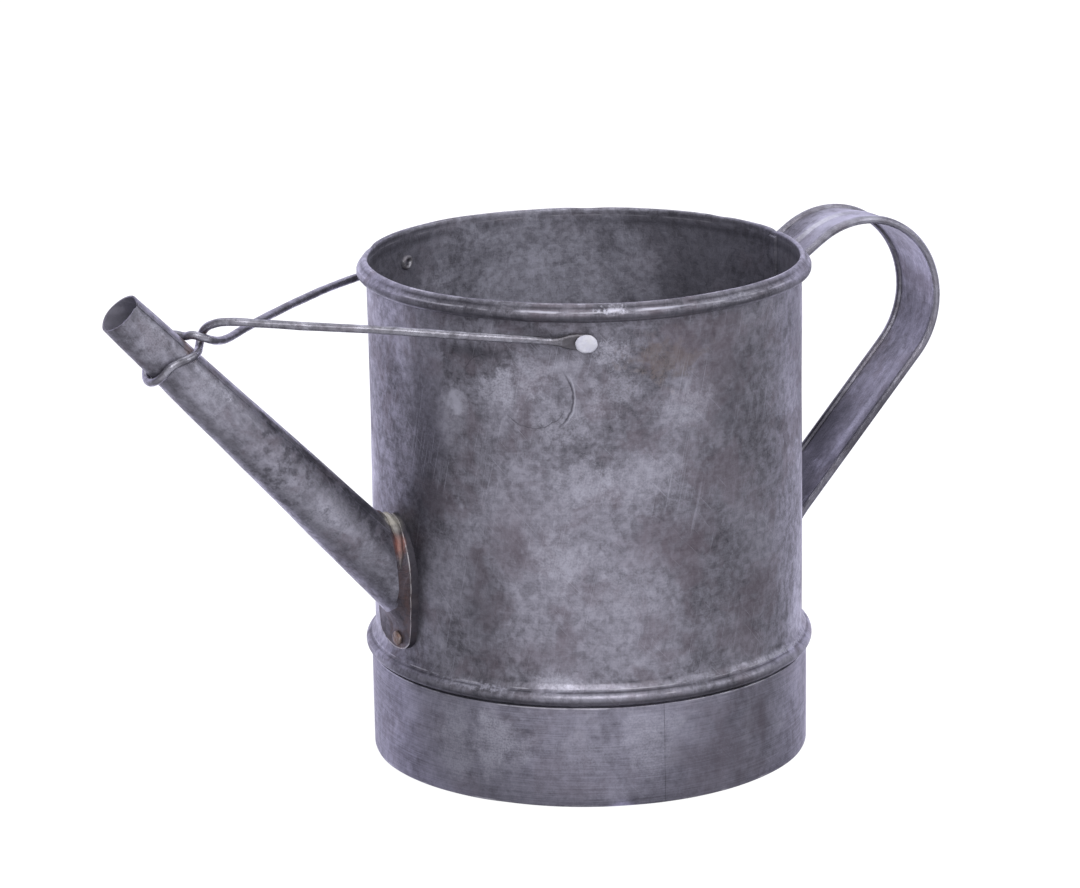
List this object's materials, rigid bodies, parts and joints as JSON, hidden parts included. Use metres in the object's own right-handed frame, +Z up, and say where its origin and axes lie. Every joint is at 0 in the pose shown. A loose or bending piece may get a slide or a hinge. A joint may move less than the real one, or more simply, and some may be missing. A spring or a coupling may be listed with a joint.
{
  "type": "watering can",
  "caption": "Open-topped galvanised steel watering can: cylindrical pail with wired rim, bead and foot hoop, straight tapering spout held by a wire stay, and a strap handle.",
  "frame": {"origin": "centre of the round foot, on the floor plane and on the can's own axis", "axes": "+Z up along the can's axis, -X towards the spout, +X towards the handle, Y across the can"},
  "size_m": [0.3398, 0.1674, 0.1933],
  "materials": {
    "body_zinc": "weathered hot-dip galvanised sheet, dull mottled grey with faint spangle, brown stains and fine scratches",
    "hoop_zinc": "weathered galvanised strip with horizontal brushed lines and rubbed lower edge",
    "pan_zinc": "dull galvanised sheet, dusty and water marked",
    "spout_zinc": "weathered galvanised sheet, mottled, with a lengthwise lap",
    "saddle_zinc": "galvanised plate with brownish red rust run beside the spout",
    "solder": "old soft solder, greenish white and rough",
    "saddle_rivet_steel": "rusty rivet head with worn metal at the crown",
    "stay_zinc": "galvanised wire, dull grey with darker bends",
    "bright_rivet": "bright worn rivet head",
    "strap_zinc": "galvanised strap, dull grey, worn smooth on the rolled edges",
    "grip_rivet_steel": "dull steel rivet heads",
    "rim_wire_steel": "plain steel wire, hidden in the rolled rim"
  },
  "bodies": {
    "root": {"body_shell": "body_zinc", "rim_wire": "rim_wire_steel", "foot_hoop": "hoop_zinc", "bottom_pan": "pan_zinc", "bottom_solder": "solder", "spout_tube": "spout_zinc", "spout_saddle": "saddle_zinc", "saddle_solder": "solder", "saddle_rivet": "saddle_rivet_steel", "stay_wire": "stay_zinc", "stay_rivets": "bright_rivet", "handle_strap": "strap_zinc", "handle_rivets": "grip_rivet_steel"}
  },
  "joints": []
}
